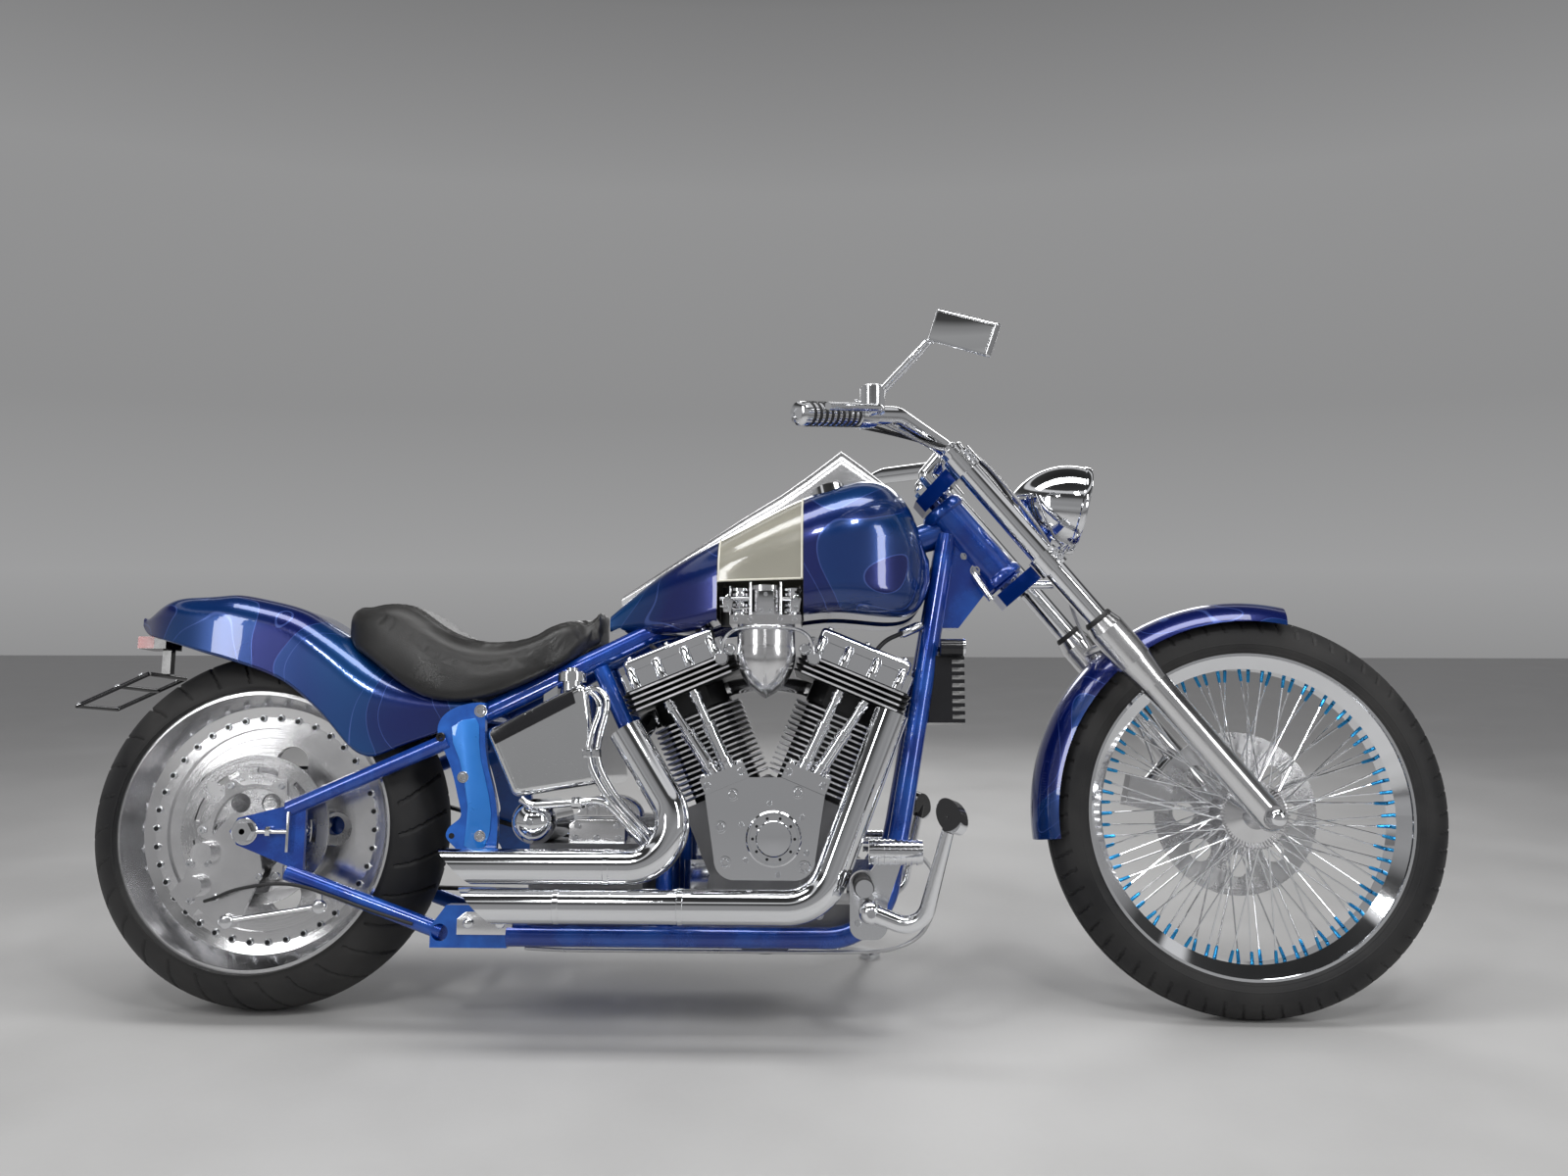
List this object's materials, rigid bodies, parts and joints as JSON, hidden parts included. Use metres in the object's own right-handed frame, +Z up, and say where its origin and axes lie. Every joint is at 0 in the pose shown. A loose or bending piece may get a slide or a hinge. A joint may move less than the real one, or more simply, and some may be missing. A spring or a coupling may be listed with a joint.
{
  "type": "chopper motorcycle",
  "caption": "Custom chopper motorcycle with long raked fork, open V-twin engine, wire-spoked front wheel, wide disc rear wheel, side exhausts, turning wheels, steering and fold-up side stand",
  "frame": {"origin": "on the floor, under the middle of the whole machine's bounding box as it leans on its stand", "axes": "+X towards the front wheel, +Y to the rider's left, +Z up"},
  "size_m": [2.4359, 0.8998, 1.1997],
  "materials": {
    "blue_paint": "deep metallic gloss",
    "blue_frame": "gloss",
    "chrome": "mirror polish",
    "polished": "polished",
    "cast": "satin",
    "steel": "brushed",
    "black_fins": "satin, polished edges",
    "black_part": "gloss",
    "tyre": "matte",
    "rubber": "matte",
    "leather": "satin",
    "red_lens": "gloss",
    "clear": "clear"
  },
  "bodies": {
    "chassis": {"frame": "blue_frame", "rear_castings": "blue_frame", "rear_fork": "blue_frame", "rear_axle": "chrome", "rear_caliper": "polished", "rear_fender": "blue_paint", "tail_light": "red_lens", "plate_frame": "chrome", "seat": "leather", "fuel_tank": "blue_paint", "tank_window": "clear", "tank_ridge": "steel", "fuel_cap": "chrome", "crankcase": "cast", "cylinder_rear": "black_fins", "cylinder_front": "black_fins", "rocker_boxes": "chrome", "pushrods": "chrome", "cam_cover": "chrome", "intake": "polished", "exhaust_upper": "chrome", "exhaust_lower": "chrome", "primary_cover": "chrome", "gearbox": "cast", "drive_belt": "rubber", "starter": "chrome", "oil_tank": "chrome", "right_controls": "chrome", "left_controls": "chrome", "horn": "black_part", "turn_signals": "black_part"},
    "steering": {"lower_yoke": "blue_frame", "upper_yoke": "blue_frame", "fork_tubes": "chrome", "fork_sliders": "polished", "front_axle": "chrome", "front_caliper": "polished", "fender_bridge": "polished", "front_fender": "blue_paint", "handlebar": "chrome", "grips": "rubber", "hand_controls": "chrome", "mirror": "chrome", "headlight": "chrome", "headlight_lens": "clear", "headlight_post": "chrome"},
    "front_wheel": {"front_tyre": "tyre", "front_rim": "polished", "front_spokes": "steel", "front_hub": "polished", "front_disc": "steel"},
    "rear_wheel": {"rear_tyre": "tyre", "rear_rim": "polished", "rear_disc": "steel", "rear_pulley": "cast"},
    "side_stand": {"side_stand": "cast"}
  },
  "joints": [
    {"name": "steer", "type": "hinge", "parent": "chassis", "child": "steering", "pos_m": [0.40227, -0.01242, 0.81349], "axis": [-0.6401, 0.1191, 0.759], "range_deg": [-24, 24]},
    {"name": "front_wheel_spin", "type": "hinge", "parent": "steering", "child": "front_wheel", "pos_m": [0.867, -0.08558, 0.34734], "axis": [0, 0.9879, -0.1551], "continuous": true},
    {"name": "rear_wheel_spin", "type": "hinge", "parent": "chassis", "child": "rear_wheel", "pos_m": [-0.87, -0.09091, 0.31341], "axis": [0, 0.9879, -0.1551], "continuous": true},
    {"name": "side_stand_fold", "type": "hinge", "parent": "chassis", "child": "side_stand", "pos_m": [0.142, 0.01433, 0.08103], "axis": [-0.0115, 0.4001, 0.9164], "range_deg": [0, 106.5]}
  ]
}
